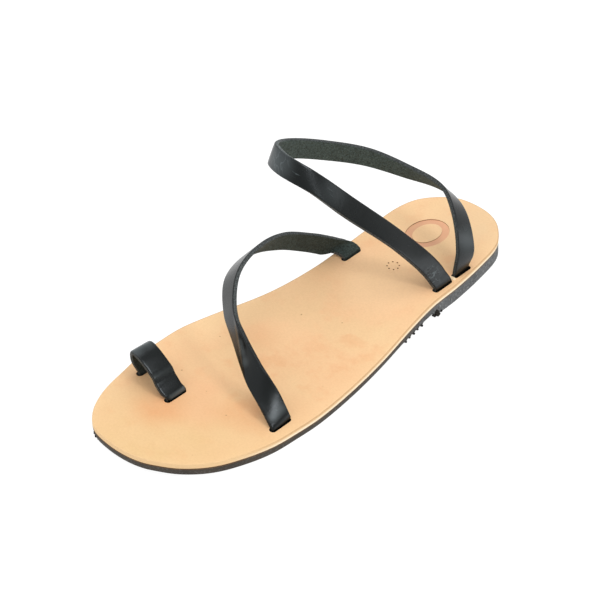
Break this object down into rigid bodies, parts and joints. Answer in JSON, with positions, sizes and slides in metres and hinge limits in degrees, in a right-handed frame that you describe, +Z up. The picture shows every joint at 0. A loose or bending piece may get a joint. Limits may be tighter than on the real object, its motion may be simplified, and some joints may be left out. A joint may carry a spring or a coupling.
{
  "type": "strappy sandal",
  "caption": "Flat left sandal with a tan leather footbed, black leather toe loop, forefoot strap and looped ankle strap, on a thin dark rubber sole with a low heel.",
  "frame": {"origin": "on the floor, in the middle of the box around the whole sandal", "axes": "+Y from toe to heel, +X to the outer (little toe) side of a left foot, +Z up"},
  "size_m": [0.098, 0.26, 0.0888],
  "materials": {
    "rubber": "matte moulded rubber",
    "tan_leather": "smooth natural leather, satin",
    "black_leather": "smooth black leather, semi-gloss"
  },
  "bodies": {
    "root": {"outsole": "rubber", "footbed": "tan_leather", "toe_loop": "black_leather", "forefoot_strap": "black_leather", "ankle_strap": "black_leather"}
  },
  "joints": []
}
